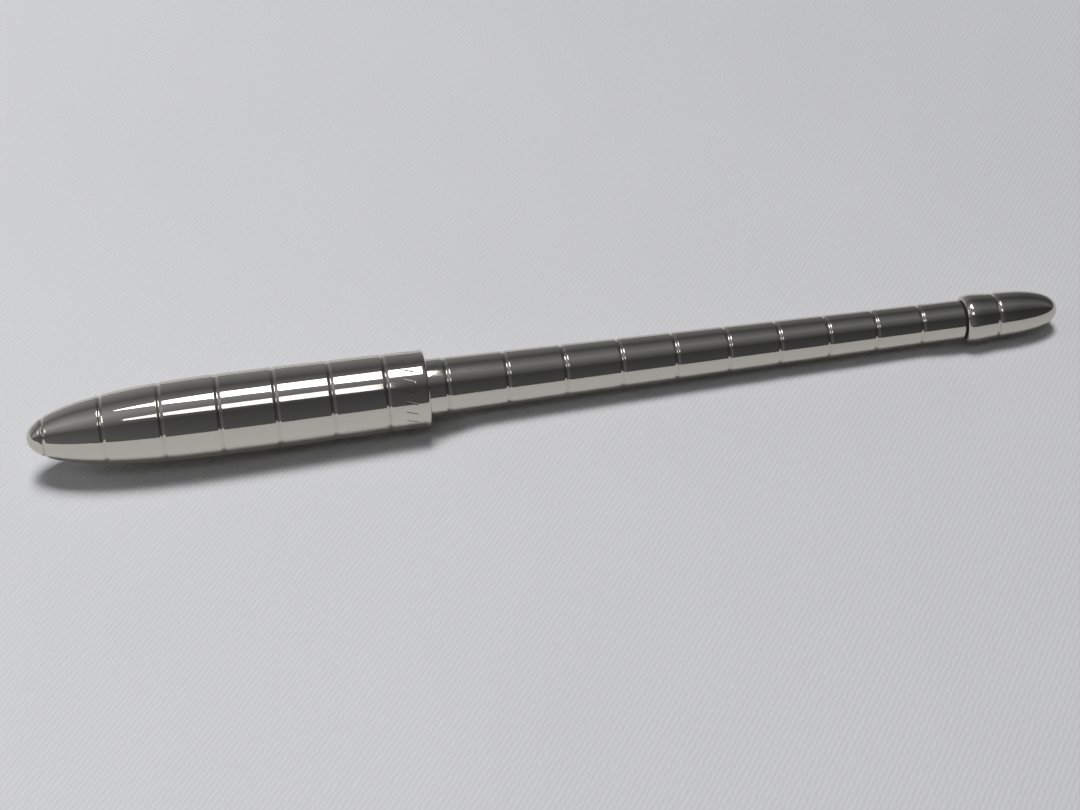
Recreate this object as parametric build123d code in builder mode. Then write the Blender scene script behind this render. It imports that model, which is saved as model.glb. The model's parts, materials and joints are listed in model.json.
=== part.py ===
"""A slim capped rollerball pen, lying along X with its cap nose at -X and its tail knob at +X.

Every piece is turned about the pen's own axis. Stations are measured in millimetres from the
tip of the cap's nose, and the model's origin is the middle of the pen's length, on its axis.
"""

import os
from math import atan, cos, sin

from build123d import *

# ---------------------------------------------------------------- outer shape
PEN_LENGTH = 120.0
CENTRE = PEN_LENGTH / 2

CAP_R = 4.62  # the widest part of the cap, a true cylinder
CAP_LIP_R = 4.42
OGIVE_LENGTH = 21.65  # nose tip to the widest part
NOSE_POWER = 2.3  # 2 would be an ellipse; more is fuller
CAP_PARALLEL_END = 27.7
CAP_LIP = 44.8
LIP_ROUND = 0.22

CAP_RING_FIRST = 1.85
CAP_RING_PITCH = 6.6
CAP_RING_SHRINK = 0.09  # each space between rings is this much shorter than the last
CAP_RINGS = 7

BARREL_MOUTH = 43.0  # hidden just inside the cap's lip
BARREL_END = 108.1
BARREL_MOUTH_R = 3.34
BARREL_TAPER = 0.0178  # loss of radius per mm at the mouth
BARREL_EASE = 0.00004  # the taper slackens towards the tail
BARREL_RING_FIRST = 47.0
BARREL_RING_PITCH = 6.88
BARREL_RING_SHRINK = 0.164
BARREL_RINGS = 10

COLLAR_CREST = 109.6
COLLAR_R = 2.86
TAIL_JOINT = 112.3
KNOB_R = 2.69
KNOB_POWER = 2.4

GROOVE_TOOL_R = 0.8
GROOVE_LIFT = 0.7  # how far the groove tool's centre stands off the surface

# ------------------------------------------------------------------- cap inside
CAP_BORE_R = 3.75
CAP_BORE_END = 12.5
FIT = 0.03  # radial gap of a light fit
LINER_WALL = 0.5
LINER_FLOOR = 0.9
LINER_MOUTH = 36.2
BAND_SPIGOT_START = 36.5
BAND_BORE_R = 3.44
SPIGOT_R = 1.25
SPIGOT_END = 6.2
SPIGOT_GAP = 0.2  # left at the bottom of the finial's and knob's holes
SCREW_R = 0.62
SCREW_HEAD_R = 1.6
SCREW_HEAD_H = 0.7
SCREW_POINT = 3.2
CLUTCH_START = 41.7
CLUTCH_LENGTH = 0.9
CLUTCH_OUTER_R = 3.78
CLUTCH_INNER_R = 3.22
CLUTCH_SPLIT = 0.9

# ------------------------------------------------------------------ section
NOSE_FRONT = 23.2
NOSE_FRONT_R = 1.42
NOSE_BACK = 30.0
NOSE_SPIGOT_END = 33.0
GRIP_FRONT_R = 2.62
GRIP_BACK_R = 3.02
FLANGE_START = 40.3
FLANGE_R = 3.14
SLEEVE_R = 2.55  # what the clutch collar is pressed on
NECK_R = 2.3
NECK_END = 44.3
THREAD_R = 2.32
THREAD_END = 52.4
SECTION_BORE_R = 1.68
NOSE_SPIGOT_WALL = 0.42
NECK_UNDERCUT = 0.2  # how far the seal's neck lies below NECK_R
GRIP_RING_STATIONS = [33.6, 36.8]

# ------------------------------------------------------------------ barrel inside
BARREL_WALL = 0.4
BUSH_START = 44.4
BUSH_END = 54.0
BUSH_BORE_R = 2.38
TUBE_LINER_START = 52.8
TUBE_LINER_END = 103.4
TUBE_LINER_R = 1.96
TUBE_LINER_BORE = 1.74
PLUG_START = 103.6
WASHER_H = 0.3
TAIL_SCREW_R = 0.7
TAIL_SCREW_HEAD_R = 1.2
TAIL_SCREW_HEAD_H = 0.6
TAIL_SCREW_END = 115.6
TAIL_SPIGOT_R = 1.5

# ------------------------------------------------------------------ refill
BALL_R = 0.35
BALL_STATION = 21.75
BALL_GAP = 0.015
TIP_RIM = 21.6
TIP_RIM_R = 0.43
TIP_R = 1.15
TIP_CONE_END = 24.6
TIP_BACK = 28.4
SOCKET_FRONT = 26.2
SOCKET_BACK = 34.0
SOCKET_SHOULDER = 31.0
SOCKET_BORE_R = 0.7
TIP_BORE_R = 0.6
INK_DUCT_R = 0.16
VENT_R = 0.35
REFILL_R = 1.55
REFILL_WALL = 0.28
REFILL_BACK = 99.4
INK_END = 76.0
FOLLOWER_LENGTH = 3.0
REFILL_PLUG_START = 97.8
REFILL_PLUG_BACK = 100.1
SPRING_GAP = 0.02
SPRING_WIRE_R = 0.14
SPRING_COIL_R = 1.1
SPRING_TURNS = 4


def x(station):
    """The model's X for a station along the pen."""
    return station - CENTRE


def dome_radius(distance, length, radius, power):
    """The radius of a full, rounded end at a distance inwards from its widest place."""
    return radius * max(0.0, 1 - (distance / length) ** power) ** (1 / power)


def cap_radius(station):
    """The cap's outer radius: a rounded nose, a parallel stretch, then a slight taper."""
    if station < OGIVE_LENGTH:
        return dome_radius(OGIVE_LENGTH - station, OGIVE_LENGTH, CAP_R, NOSE_POWER)
    if station < CAP_PARALLEL_END:
        return CAP_R
    share = (station - CAP_PARALLEL_END) / (CAP_LIP - CAP_PARALLEL_END)
    return CAP_R + (CAP_LIP_R - CAP_R) * share


def barrel_radius(station):
    """The barrel's outer radius, a taper that slackens towards the tail."""
    run = station - BARREL_MOUTH
    return BARREL_MOUTH_R - BARREL_TAPER * run + BARREL_EASE * run**2


def barrel_bore(station):
    """The barrel tube's inner radius."""
    return barrel_radius(station) - BARREL_WALL


def ring_stations(first, pitch, shrink, count):
    """Where ring grooves are, each space a little shorter than the one before it."""
    stations = [first]
    for i in range(count - 1):
        stations.append(stations[-1] + pitch - shrink * i)
    return stations


def points(pairs):
    """Station and radius pairs as points of the half section, drawn above the X axis."""
    return [(x(station), radius) for station, radius in pairs]


def turned(pairs):
    """A piece turned from a closed outline of stations and radii, straight from point to point."""
    with BuildPart() as piece:
        with BuildSketch(Plane.XY):
            with BuildLine():
                Polyline(*points(pairs), close=True)
            make_face()
        revolve(axis=Axis.X)
    return piece


def groove_centre(station, radius_at):
    """Where the groove tool's centre runs: off the surface, along its normal."""
    step = 0.05
    slope = atan((radius_at(station + step) - radius_at(station - step)) / (2 * step))
    return x(station) - GROOVE_LIFT * sin(slope), radius_at(station) + GROOVE_LIFT * cos(slope)


def ring_grooves(stations, radius_at):
    """Shallow round grooves, cut from the half section that is being drawn."""
    with Locations(*[groove_centre(s, radius_at) for s in stations]):
        Circle(GROOVE_TOOL_R, mode=Mode.SUBTRACT)


def sleeve(start, end, outer, inner):
    """A plain turned sleeve."""
    return turned([(start, inner), (end, inner), (end, outer), (start, outer)])


def finish(piece, name):
    """Label a piece and write it out under the same name."""
    piece.part.label = name
    export_step(piece.part, f"parts/{name}.step")


os.makedirs("parts", exist_ok=True)
cap_rings = ring_stations(CAP_RING_FIRST, CAP_RING_PITCH, CAP_RING_SHRINK, CAP_RINGS)
barrel_rings = ring_stations(BARREL_RING_FIRST, BARREL_RING_PITCH, BARREL_RING_SHRINK, BARREL_RINGS)
FINIAL_RING = cap_rings[0]
BAND_RING = cap_rings[-1]

# ============================================================ cap
with BuildPart() as cap_finial:
    with BuildSketch(Plane.XY):
        with BuildLine():
            edge_r = cap_radius(FINIAL_RING)
            shoulder = (0.06, 0.4, 0.95)
            Spline(
                *points([(0, 0)] + [(s, cap_radius(s)) for s in shoulder] + [(FINIAL_RING, edge_r)]),
                tangents=((0, 1), (1, 0.62)),
            )
            Polyline(
                *points(
                    [
                        (FINIAL_RING, edge_r),
                        (FINIAL_RING, SPIGOT_R),
                        (SPIGOT_END - SPIGOT_GAP, SPIGOT_R),
                        (SPIGOT_END - SPIGOT_GAP, SCREW_R + FIT),
                        (SCREW_POINT - SPIGOT_GAP, SCREW_R + FIT),
                        (SCREW_POINT - SPIGOT_GAP, 0),
                        (0, 0),
                    ]
                )
            )
        make_face()
        ring_grooves([FINIAL_RING], cap_radius)
    revolve(axis=Axis.X)
finish(cap_finial, "cap_finial")

with BuildPart() as cap_shell:
    with BuildSketch(Plane.XY):
        with BuildLine():
            ogive = [FINIAL_RING, 3.4, 6.0, 9.5, 14.0, OGIVE_LENGTH]
            Spline(*points([(s, cap_radius(s)) for s in ogive]), tangents=((1, 0.62), (1, 0)))
            Polyline(
                *points(
                    [
                        (OGIVE_LENGTH, CAP_R),
                        (CAP_PARALLEL_END, CAP_R),
                        (BAND_RING, cap_radius(BAND_RING)),
                        (BAND_RING, CAP_BORE_R),
                        (CAP_BORE_END, CAP_BORE_R),
                        (CAP_BORE_END, SCREW_R + 2 * FIT),
                        (SPIGOT_END, SCREW_R + 2 * FIT),
                        (SPIGOT_END, SPIGOT_R + FIT),
                        (FINIAL_RING, SPIGOT_R + FIT),
                        (FINIAL_RING, cap_radius(FINIAL_RING)),
                    ]
                )
            )
        make_face()
        ring_grooves(cap_rings, cap_radius)
    revolve(axis=Axis.X)
finish(cap_shell, "cap_shell")

with BuildPart() as cap_band:
    with BuildSketch(Plane.XY):
        with BuildLine():
            Polyline(
                *points(
                    [
                        (BAND_RING, cap_radius(BAND_RING)),
                        (CAP_LIP, CAP_LIP_R),
                        (CAP_LIP, BAND_BORE_R),
                        (CLUTCH_START + CLUTCH_LENGTH + 0.05, BAND_BORE_R),
                        (CLUTCH_START + CLUTCH_LENGTH + 0.05, CLUTCH_OUTER_R + 0.1),
                        (CLUTCH_START - 0.05, CLUTCH_OUTER_R + 0.1),
                        (CLUTCH_START - 0.05, BAND_BORE_R - 0.1),
                        (BAND_SPIGOT_START, BAND_BORE_R - 0.1),
                        (BAND_SPIGOT_START, CAP_BORE_R - FIT),
                        (BAND_RING, CAP_BORE_R - FIT),
                    ]
                ),
                close=True,
            )
        make_face()
        ring_grooves([BAND_RING], cap_radius)
    revolve(axis=Axis.X)
    lip_edges = cap_band.edges().filter_by(GeomType.CIRCLE).group_by(Axis.X)[-1]
    fillet(lip_edges.sort_by(SortBy.RADIUS)[-1], LIP_ROUND)
finish(cap_band, "cap_band")

liner_r = CAP_BORE_R - FIT
liner_start = CAP_BORE_END + 0.05
inner_cap = turned(
    [
        (liner_start, SCREW_R + 2 * FIT),
        (liner_start, liner_r),
        (LINER_MOUTH, liner_r),
        (LINER_MOUTH, liner_r - LINER_WALL + 0.2),
        (LINER_MOUTH - 1.2, liner_r - LINER_WALL),
        (liner_start + LINER_FLOOR, liner_r - LINER_WALL),
        (liner_start + LINER_FLOOR, SCREW_R + 2 * FIT),
    ]
)
finish(inner_cap, "inner_cap")

head_start = liner_start + LINER_FLOOR
with BuildPart() as finial_screw:
    with BuildSketch(Plane.XY):
        with BuildLine():
            Polyline(
                *points(
                    [
                        (SCREW_POINT, 0),
                        (SCREW_POINT, SCREW_R - 0.25),
                        (SCREW_POINT + 0.25, SCREW_R),
                        (head_start, SCREW_R),
                        (head_start, SCREW_HEAD_R),
                        (head_start + SCREW_HEAD_H, SCREW_HEAD_R - 0.25),
                        (head_start + SCREW_HEAD_H, 0),
                    ]
                ),
                close=True,
            )
        make_face()
    revolve(axis=Axis.X)
    with BuildSketch(Plane.YZ.offset(x(head_start + SCREW_HEAD_H))):
        Rectangle(2 * SCREW_HEAD_R, 0.4)
    extrude(amount=-0.35, mode=Mode.SUBTRACT)
finish(finial_screw, "finial_screw")

with BuildPart() as cap_clutch_ring:
    with BuildSketch(Plane.YZ.offset(x(CLUTCH_START))):
        Circle(CLUTCH_OUTER_R)
        Circle(CLUTCH_INNER_R, mode=Mode.SUBTRACT)
        with Locations((0, CLUTCH_OUTER_R)):
            Rectangle(CLUTCH_SPLIT, 2, mode=Mode.SUBTRACT)
    extrude(amount=CLUTCH_LENGTH)
finish(cap_clutch_ring, "cap_clutch_ring")

# ============================================================ section
with BuildPart() as nose_cone:
    with BuildSketch(Plane.XY):
        with BuildLine():
            Spline(
                *points([(NOSE_FRONT, NOSE_FRONT_R), (26.2, 2.18), (NOSE_BACK, GRIP_FRONT_R)]),
                tangents=((1, 0.3), (1, 0.05)),
            )
            Polyline(
                *points(
                    [
                        (NOSE_BACK, GRIP_FRONT_R),
                        (NOSE_BACK, SECTION_BORE_R + NOSE_SPIGOT_WALL),
                        (NOSE_SPIGOT_END, SECTION_BORE_R + NOSE_SPIGOT_WALL),
                        (NOSE_SPIGOT_END, SECTION_BORE_R),
                        (SOCKET_FRONT, SECTION_BORE_R),
                        (SOCKET_FRONT, TIP_R + 0.08),
                        (NOSE_FRONT, TIP_R + 0.08),
                        (NOSE_FRONT, NOSE_FRONT_R),
                    ]
                )
            )
        make_face()
    revolve(axis=Axis.X)
finish(nose_cone, "nose_cone")

with BuildPart() as grip_section:
    with BuildSketch(Plane.XY):
        with BuildLine():
            Polyline(
                *points(
                    [
                        (NOSE_BACK, GRIP_FRONT_R),
                        (FLANGE_START, GRIP_BACK_R),
                        (FLANGE_START, SLEEVE_R),
                        (BARREL_MOUTH, SLEEVE_R),
                        (BARREL_MOUTH, NECK_R - NECK_UNDERCUT),
                        (NECK_END, NECK_R - NECK_UNDERCUT),
                        (NECK_END, THREAD_R),
                        (THREAD_END - 0.4, THREAD_R),
                        (THREAD_END, THREAD_R - 0.3),
                        (THREAD_END, SECTION_BORE_R),
                        (NOSE_SPIGOT_END + 0.05, SECTION_BORE_R),
                        (NOSE_SPIGOT_END + 0.05, SECTION_BORE_R + NOSE_SPIGOT_WALL + FIT),
                        (NOSE_BACK, SECTION_BORE_R + NOSE_SPIGOT_WALL + FIT),
                    ]
                ),
                close=True,
            )
        make_face()
        grip_slope = (GRIP_BACK_R - GRIP_FRONT_R) / (FLANGE_START - NOSE_BACK)
        ring_grooves(GRIP_RING_STATIONS, lambda s: GRIP_FRONT_R + grip_slope * (s - NOSE_BACK))
    revolve(axis=Axis.X)
finish(grip_section, "grip_section")

clutch_collar = turned(
    [
        (FLANGE_START, SLEEVE_R + FIT),
        (FLANGE_START, FLANGE_R - 0.15),
        (FLANGE_START + 0.2, FLANGE_R),
        (BARREL_MOUTH - 0.05, FLANGE_R),
        (BARREL_MOUTH - 0.05, SLEEVE_R + FIT),
    ]
)
finish(clutch_collar, "clutch_collar")

with BuildPart() as section_o_ring:
    o_ring_r = (barrel_bore(BARREL_MOUTH) - NECK_R + 0.1) / 2
    with BuildSketch(Plane.XY):
        with Locations((x((BARREL_MOUTH + NECK_END) / 2), NECK_R - 0.1 + o_ring_r)):
            Circle(o_ring_r - 0.03)
    revolve(axis=Axis.X)
finish(section_o_ring, "section_o_ring")

# ============================================================ barrel
with BuildPart() as barrel_tube:
    spine = [BARREL_MOUTH, 65.0, 87.0, BARREL_END]
    with BuildSketch(Plane.XY):
        with BuildLine():
            Spline(*points([(s, barrel_radius(s)) for s in spine]))
            Line(*points([(BARREL_END, barrel_radius(BARREL_END)), (BARREL_END, barrel_bore(BARREL_END))]))
            Spline(*points([(s, barrel_bore(s)) for s in reversed(spine)]))
            Line(*points([(BARREL_MOUTH, barrel_bore(BARREL_MOUTH)), (BARREL_MOUTH, BARREL_MOUTH_R)]))
        make_face()
        ring_grooves(barrel_rings, barrel_radius)
    revolve(axis=Axis.X)
finish(barrel_tube, "barrel_tube")

thread_bush = turned(
    [
        (BUSH_START, BUSH_BORE_R + 0.2),
        (BUSH_START + 0.2, BUSH_BORE_R),
        (THREAD_END + 0.2, BUSH_BORE_R),
        (THREAD_END + 0.2, TUBE_LINER_R + FIT),
        (BUSH_END, TUBE_LINER_R + FIT),
        (BUSH_END, barrel_bore(BUSH_END) - FIT),
        (BUSH_START, barrel_bore(BUSH_START) - FIT),
    ]
)
finish(thread_bush, "thread_bush")

barrel_liner = sleeve(TUBE_LINER_START, TUBE_LINER_END, TUBE_LINER_R, TUBE_LINER_BORE)
finish(barrel_liner, "barrel_liner")

plug_hollow = PLUG_START + 1.6
end_plug = turned(
    [
        (PLUG_START, TAIL_SCREW_HEAD_R + 0.1),
        (PLUG_START, barrel_bore(BARREL_END) - FIT),
        (BARREL_END, barrel_bore(BARREL_END) - FIT),
        (BARREL_END, TAIL_SCREW_R + FIT),
        (plug_hollow, TAIL_SCREW_R + FIT),
        (plug_hollow, TAIL_SCREW_HEAD_R + 0.1),
    ]
)
finish(end_plug, "end_plug")

spring_start = REFILL_PLUG_BACK + SPRING_GAP + SPRING_WIRE_R
spring_end = plug_hollow - TAIL_SCREW_HEAD_H - SPRING_GAP - SPRING_WIRE_R
with BuildPart() as refill_spring:
    coil_pitch = (spring_end - spring_start) / SPRING_TURNS
    with BuildLine() as coil:
        Helix(
            pitch=coil_pitch,
            height=spring_end - spring_start,
            radius=SPRING_COIL_R,
            center=(x(spring_start), 0, 0),
            direction=(1, 0, 0),
        )
    with BuildSketch(Plane(origin=coil.line @ 0, z_dir=coil.line % 0)):
        Circle(SPRING_WIRE_R)
    sweep(path=coil.line, is_frenet=True)
finish(refill_spring, "refill_spring")

washer_end = BARREL_END + WASHER_H
tail_washer = sleeve(BARREL_END, washer_end, barrel_radius(BARREL_END) - 0.08, TAIL_SCREW_R + FIT)
finish(tail_washer, "tail_washer")

with BuildPart() as tail_collar:
    with BuildSketch(Plane.XY):
        collar_start = (washer_end, barrel_radius(BARREL_END) + 0.03)
        collar_turn = (washer_end + 0.38, 2.7)
        with BuildLine():
            Spline(
                *points([collar_start, collar_turn, (COLLAR_CREST, COLLAR_R), (TAIL_JOINT, KNOB_R)]),
                tangents=((0.3, 1), (1, -0.07)),
            )
            Polyline(
                *points(
                    [
                        (TAIL_JOINT, KNOB_R),
                        (TAIL_JOINT, TAIL_SPIGOT_R + FIT),
                        (TAIL_JOINT - 1.5, TAIL_SPIGOT_R + FIT),
                        (TAIL_JOINT - 1.5, TAIL_SCREW_R + FIT),
                        (washer_end, TAIL_SCREW_R + FIT),
                        collar_start,
                    ]
                )
            )
        make_face()
        ring_grooves([TAIL_JOINT], lambda s: KNOB_R)
    revolve(axis=Axis.X)
finish(tail_collar, "tail_collar")


def knob_radius(station):
    """The tail knob's outer radius, a full dome that ends the pen."""
    return dome_radius(station - TAIL_JOINT, PEN_LENGTH - TAIL_JOINT, KNOB_R, KNOB_POWER)


with BuildPart() as tail_knob:
    with BuildSketch(Plane.XY):
        with BuildLine():
            shoulder = [TAIL_JOINT, 115.0, 117.2, 118.8, 119.6]
            Spline(
                *points([(s, knob_radius(s)) for s in shoulder] + [(PEN_LENGTH, 0)]),
                tangents=((1, 0), (0, -1)),
            )
            Polyline(
                *points(
                    [
                        (PEN_LENGTH, 0),
                        (TAIL_SCREW_END + SPIGOT_GAP, 0),
                        (TAIL_SCREW_END + SPIGOT_GAP, TAIL_SCREW_R + FIT),
                        (TAIL_JOINT - 1.4, TAIL_SCREW_R + FIT),
                        (TAIL_JOINT - 1.4, TAIL_SPIGOT_R),
                        (TAIL_JOINT, TAIL_SPIGOT_R),
                        (TAIL_JOINT, KNOB_R),
                    ]
                )
            )
        make_face()
        ring_grooves([TAIL_JOINT], lambda s: KNOB_R)
    revolve(axis=Axis.X)
finish(tail_knob, "tail_knob")

with BuildPart() as tail_screw:
    head_front = plug_hollow - TAIL_SCREW_HEAD_H
    with BuildSketch(Plane.XY):
        with BuildLine():
            Polyline(
                *points(
                    [
                        (head_front, 0),
                        (head_front, TAIL_SCREW_HEAD_R - 0.2),
                        (plug_hollow, TAIL_SCREW_HEAD_R),
                        (plug_hollow, TAIL_SCREW_R),
                        (TAIL_SCREW_END - 0.3, TAIL_SCREW_R),
                        (TAIL_SCREW_END, TAIL_SCREW_R - 0.3),
                        (TAIL_SCREW_END, 0),
                    ]
                ),
                close=True,
            )
        make_face()
    revolve(axis=Axis.X)
    with BuildSketch(Plane.YZ.offset(x(head_front))):
        Rectangle(2 * TAIL_SCREW_HEAD_R, 0.35)
    extrude(amount=0.3, mode=Mode.SUBTRACT)
finish(tail_screw, "tail_screw")

# ============================================================ refill
with BuildPart() as writing_ball:
    with Locations((x(BALL_STATION), 0, 0)):
        Sphere(BALL_R, rotation=(90, 0, 0))
finish(writing_ball, "writing_ball")

seat_r = BALL_R + BALL_GAP
with BuildPart() as writing_tip:
    with BuildSketch(Plane.XY):
        with BuildLine():
            Polyline(
                *points(
                    [
                        (TIP_RIM, 0),
                        (TIP_RIM, TIP_RIM_R),
                        (TIP_CONE_END, TIP_R),
                        (TIP_BACK, TIP_R),
                        (TIP_BACK, TIP_BORE_R),
                        (TIP_CONE_END, TIP_BORE_R),
                        (TIP_CONE_END - 0.3, INK_DUCT_R),
                        (BALL_STATION, INK_DUCT_R),
                        (BALL_STATION, 0),
                    ]
                ),
                close=True,
            )
        make_face()
        with Locations((x(BALL_STATION), 0)):
            Circle(seat_r, mode=Mode.SUBTRACT)
    revolve(axis=Axis.X)
finish(writing_tip, "writing_tip")

tube_bore = REFILL_R - REFILL_WALL
tip_socket = turned(
    [
        (SOCKET_FRONT + 0.02, TIP_R + FIT),
        (SOCKET_FRONT + 0.02, REFILL_R - 0.15),
        (SOCKET_FRONT + 0.3, REFILL_R),
        (SOCKET_SHOULDER, REFILL_R),
        (SOCKET_SHOULDER, tube_bore - FIT),
        (SOCKET_BACK, tube_bore - FIT - 0.1),
        (SOCKET_BACK, SOCKET_BORE_R),
        (TIP_BACK + 0.05, SOCKET_BORE_R),
        (TIP_BACK + 0.05, TIP_R + FIT),
    ]
)
finish(tip_socket, "tip_socket")

refill_tube = sleeve(SOCKET_SHOULDER + 0.02, REFILL_BACK, REFILL_R, tube_bore)
finish(refill_tube, "refill_tube")

ink_column = sleeve(SOCKET_BACK + 0.1, INK_END, tube_bore - 0.02, 0)
finish(ink_column, "ink_column")

ink_follower = turned(
    [
        (INK_END + 0.05, 0),
        (INK_END + 0.05, tube_bore - 0.02),
        (INK_END + FOLLOWER_LENGTH, tube_bore - 0.02),
        (INK_END + FOLLOWER_LENGTH - 0.5, 0),
    ]
)
finish(ink_follower, "ink_follower")

refill_plug = turned(
    [
        (REFILL_PLUG_START, VENT_R),
        (REFILL_PLUG_START, tube_bore - 0.12),
        (REFILL_PLUG_START + 0.3, tube_bore - FIT),
        (REFILL_BACK + 0.02, tube_bore - FIT),
        (REFILL_BACK + 0.02, REFILL_R),
        (REFILL_PLUG_BACK, REFILL_R),
        (REFILL_PLUG_BACK, VENT_R),
    ]
)
finish(refill_plug, "refill_plug")
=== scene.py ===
"""The looks of a slim capped rollerball pen in ring-grooved plated metal, built around its CAD frame.

Stations are millimetres from the tip of the cap's nose, as in the CAD source, and radii are
millimetres from the pen's axis. place() turns them into the frame's metres.
"""

import json
from math import asin, cos, exp, pi, radians, sin, tan

import bpy
from mathutils import Matrix, Vector

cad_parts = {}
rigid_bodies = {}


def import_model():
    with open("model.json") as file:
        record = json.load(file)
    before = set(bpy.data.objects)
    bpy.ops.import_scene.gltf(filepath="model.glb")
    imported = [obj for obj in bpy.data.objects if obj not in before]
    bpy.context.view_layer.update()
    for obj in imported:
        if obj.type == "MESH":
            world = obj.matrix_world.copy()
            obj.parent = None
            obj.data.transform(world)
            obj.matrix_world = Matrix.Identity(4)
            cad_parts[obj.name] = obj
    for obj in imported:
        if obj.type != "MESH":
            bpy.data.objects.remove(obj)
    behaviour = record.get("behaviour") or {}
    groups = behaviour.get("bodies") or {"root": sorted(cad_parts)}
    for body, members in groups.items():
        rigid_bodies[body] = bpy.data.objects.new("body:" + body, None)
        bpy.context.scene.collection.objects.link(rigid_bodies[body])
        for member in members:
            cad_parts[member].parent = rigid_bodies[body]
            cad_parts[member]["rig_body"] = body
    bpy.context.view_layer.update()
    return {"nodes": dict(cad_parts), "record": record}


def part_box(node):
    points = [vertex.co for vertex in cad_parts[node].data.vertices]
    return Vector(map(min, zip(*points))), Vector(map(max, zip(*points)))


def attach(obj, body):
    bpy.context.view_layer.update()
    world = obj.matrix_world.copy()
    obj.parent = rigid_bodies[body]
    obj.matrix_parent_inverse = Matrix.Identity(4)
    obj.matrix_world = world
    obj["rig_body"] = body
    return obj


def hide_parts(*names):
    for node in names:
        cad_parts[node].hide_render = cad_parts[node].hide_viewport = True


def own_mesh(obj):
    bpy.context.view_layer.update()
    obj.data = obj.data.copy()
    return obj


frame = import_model()

MM = 0.001
NOSE_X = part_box("cap_finial")[0].x

# ---------------------------------------------------------------- cap
CAP_R = 4.62
CAP_LIP_R = 4.42
OGIVE_LENGTH = 21.65  # nose tip to the widest part
NOSE_POWER = 2.3  # 2 would be an ellipse; more is fuller
CAP_PARALLEL_END = 27.7
CAP_LIP = 44.8
LIP_ROUND = 0.3
CAP_BORE_R = 3.75
CAP_BORE_END = 12.5
FINIAL_SPIGOT_R = 1.25
FINIAL_SPIGOT_END = 6.0
FINIAL_THREAD_R = 0.65
FINIAL_THREAD_END = 3.0
SPIGOT_SEAT_R = 1.28
SPIGOT_SEAT_END = 6.2
SCREW_HOLE_R = 0.68
BAND_SPIGOT_START = 36.5
BAND_SPIGOT_R = 3.72
BAND_FRONT_BORE_R = 3.34
BAND_BORE_R = 3.44
CLUTCH_SLOT = (41.65, 42.65)
CLUTCH_SLOT_R = 3.88
LINER_START = 12.55
LINER_FLOOR_END = 13.45
LINER_END = 36.2
LINER_R = 3.72
LINER_BORE_R = 3.22

# ---------------------------------------------------------------- barrel and tail
BARREL_MOUTH = 43.0
BARREL_END = 108.1
BARREL_MOUTH_R = 3.34
BARREL_TAPER = 0.0178  # loss of radius per mm at the mouth
BARREL_EASE = 0.00004  # the taper slackens towards the tail
BARREL_WALL = 0.4
WASHER_END = 108.4
COLLAR_CREST = 109.6
COLLAR_R = 2.86
TAIL_JOINT = 112.3
TAIL_SCREW_HOLE_R = 0.73
TAIL_SCREW_HOLE_END = 115.8
TAIL_SPIGOT_R = 1.5
TAIL_SPIGOT_SEAT_R = 1.53
KNOB_R = 2.69
KNOB_POWER = 2.4
PEN_LENGTH = 120.0

# ---------------------------------------------------------------- section
NOSE_FRONT = 23.2
NOSE_SHOULDER = 26.2
NOSE_BORE_R = 1.23
GRIP_FRONT = 30.0
GRIP_FRONT_R = 2.62
GRIP_BACK = 40.3
GRIP_BACK_R = 3.02
GRIP_RINGS = [33.6, 36.8]
NOSE_SPIGOT_END = 33.0
NOSE_SPIGOT_WALL = 0.42
SECTION_BORE_R = 1.68
SLEEVE_R = 2.55
SEAL_NECK_R = 2.1
COLLAR_BORE_R = 2.58
FLANGE_R = 3.14
THREAD_START = 44.3
THREAD_END = 52.4
THREAD_R = 2.32
THREAD_PITCH = 0.5
THREAD_DEPTH = 0.2
O_RING_STATION = 43.65
O_RING_R = 0.34
O_RING_COIL_R = 2.57

# ---------------------------------------------------------------- refill
BALL_STATION = 21.75
BALL_R = 0.35
BALL_SEAT_R = 0.365
TIP_R = 1.15
TIP_BACK = 28.4
TIP_BORE_R = 0.6
TIP_BORE_FRONT = 24.6
INK_DUCT_R = 0.16
INK_DUCT_BACK = 24.3
SPRING_START = 100.26  # of the wire's centre
SPRING_END = 104.44
SPRING_COIL_R = 1.1
SPRING_WIRE_R = 0.14
SPRING_TURNS = 4

# ---------------------------------------------------------------- finish
GROOVE_WIDTH = 0.76
GROOVE_DEPTH = 0.095
TICK_COUNT = 22
TICK_CENTRE = 42.6
TICK_REACH = 0.7  # half of a tick's length
TICK_LEAN = 0.5
TICK_LINE = 0.17
TICK_DEPTH = 0.02
SEAM = 0.03  # the broken edge where two turned pieces meet
ENGRAVED = (0.13, 0.12, 0.10)
CLOTH_GAP = 0.1  # kept under the barrel
SWELL_REACH = 10.0

SEGMENTS = 256


def ring_stations(first, pitch, shrink, count):
    """Where ring grooves are, each space a little shorter than the one before it."""
    stations = [first]
    for i in range(count - 1):
        stations.append(stations[-1] + pitch - shrink * i)
    return stations


CAP_RINGS = ring_stations(1.85, 6.6, 0.09, 7)
BARREL_RINGS = ring_stations(47.0, 6.88, 0.164, 10)
FINIAL_RING = CAP_RINGS[0]
BAND_RING = CAP_RINGS[-1]


def dome_radius(distance, length, radius, power):
    """The radius of a full, rounded end at a distance inwards from its widest place."""
    return radius * max(0.0, 1 - (distance / length) ** power) ** (1 / power)


def cap_radius(station):
    """The cap's outer radius: a rounded nose, a parallel stretch, then a slight taper."""
    if station < OGIVE_LENGTH:
        return dome_radius(OGIVE_LENGTH - station, OGIVE_LENGTH, CAP_R, NOSE_POWER)
    if station < CAP_PARALLEL_END:
        return CAP_R
    share = (station - CAP_PARALLEL_END) / (CAP_LIP - CAP_PARALLEL_END)
    return CAP_R + (CAP_LIP_R - CAP_R) * share


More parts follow.
